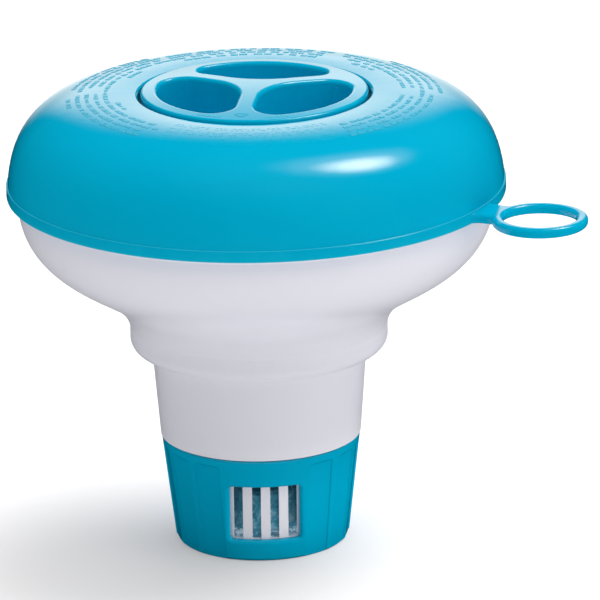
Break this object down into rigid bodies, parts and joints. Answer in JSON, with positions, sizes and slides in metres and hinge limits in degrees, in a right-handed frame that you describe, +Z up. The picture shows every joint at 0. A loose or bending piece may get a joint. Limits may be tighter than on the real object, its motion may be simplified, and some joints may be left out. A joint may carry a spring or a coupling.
{
  "type": "floating chlorine dispenser",
  "caption": "Mushroom-shaped pool chlorine float with a domed top, finger-pocket screw cap, tapered stem, slotted dosing collar and tether ring.",
  "frame": {"origin": "centre of the flat base, on the axis of the float", "axes": "+Z up through the cap, +X through the tether ring"},
  "size_m": [0.2155, 0.1768, 0.1676],
  "materials": {
    "blue_plastic": "satin gloss polypropylene",
    "white_plastic": "satin gloss polypropylene",
    "seal_rubber": "matte",
    "tablet_powder": "pressed powder, matte"
  },
  "bodies": {
    "float": {"float_dome": "blue_plastic", "filler_neck": "blue_plastic", "float_bowl": "white_plastic", "float_cylinder": "white_plastic", "float_stem": "white_plastic", "feed_tube": "white_plastic", "vent_basket": "white_plastic", "tether_ring": "blue_plastic", "tablet_1": "tablet_powder", "tablet_2": "tablet_powder", "tablet_3": "tablet_powder", "tablet_4": "tablet_powder", "tablet_5": "tablet_powder", "tablet_6": "tablet_powder"},
    "collar": {"dosing_collar": "blue_plastic"},
    "seal": {"cap_seal": "seal_rubber"},
    "cap": {"screw_cap": "blue_plastic"}
  },
  "joints": [
    {"name": "collar_turn", "type": "hinge", "parent": "float", "child": "collar", "pos_m": [0, 0, 0], "axis": [0, 0, 1], "range_deg": [0, 45]},
    {"name": "cap_rise", "type": "slide", "parent": "float", "child": "seal", "axis": [0, 0, 1], "range_m": [0, 0.024]},
    {"name": "cap_turn", "type": "hinge", "parent": "seal", "child": "cap", "pos_m": [0, 0, 0], "axis": [0, 0, 1], "range_deg": [0, 720]}
  ],
  "couplings": [
    {"joint": "cap_rise", "follows": "cap_turn", "m_per_rad": 0.0019099}
  ]
}
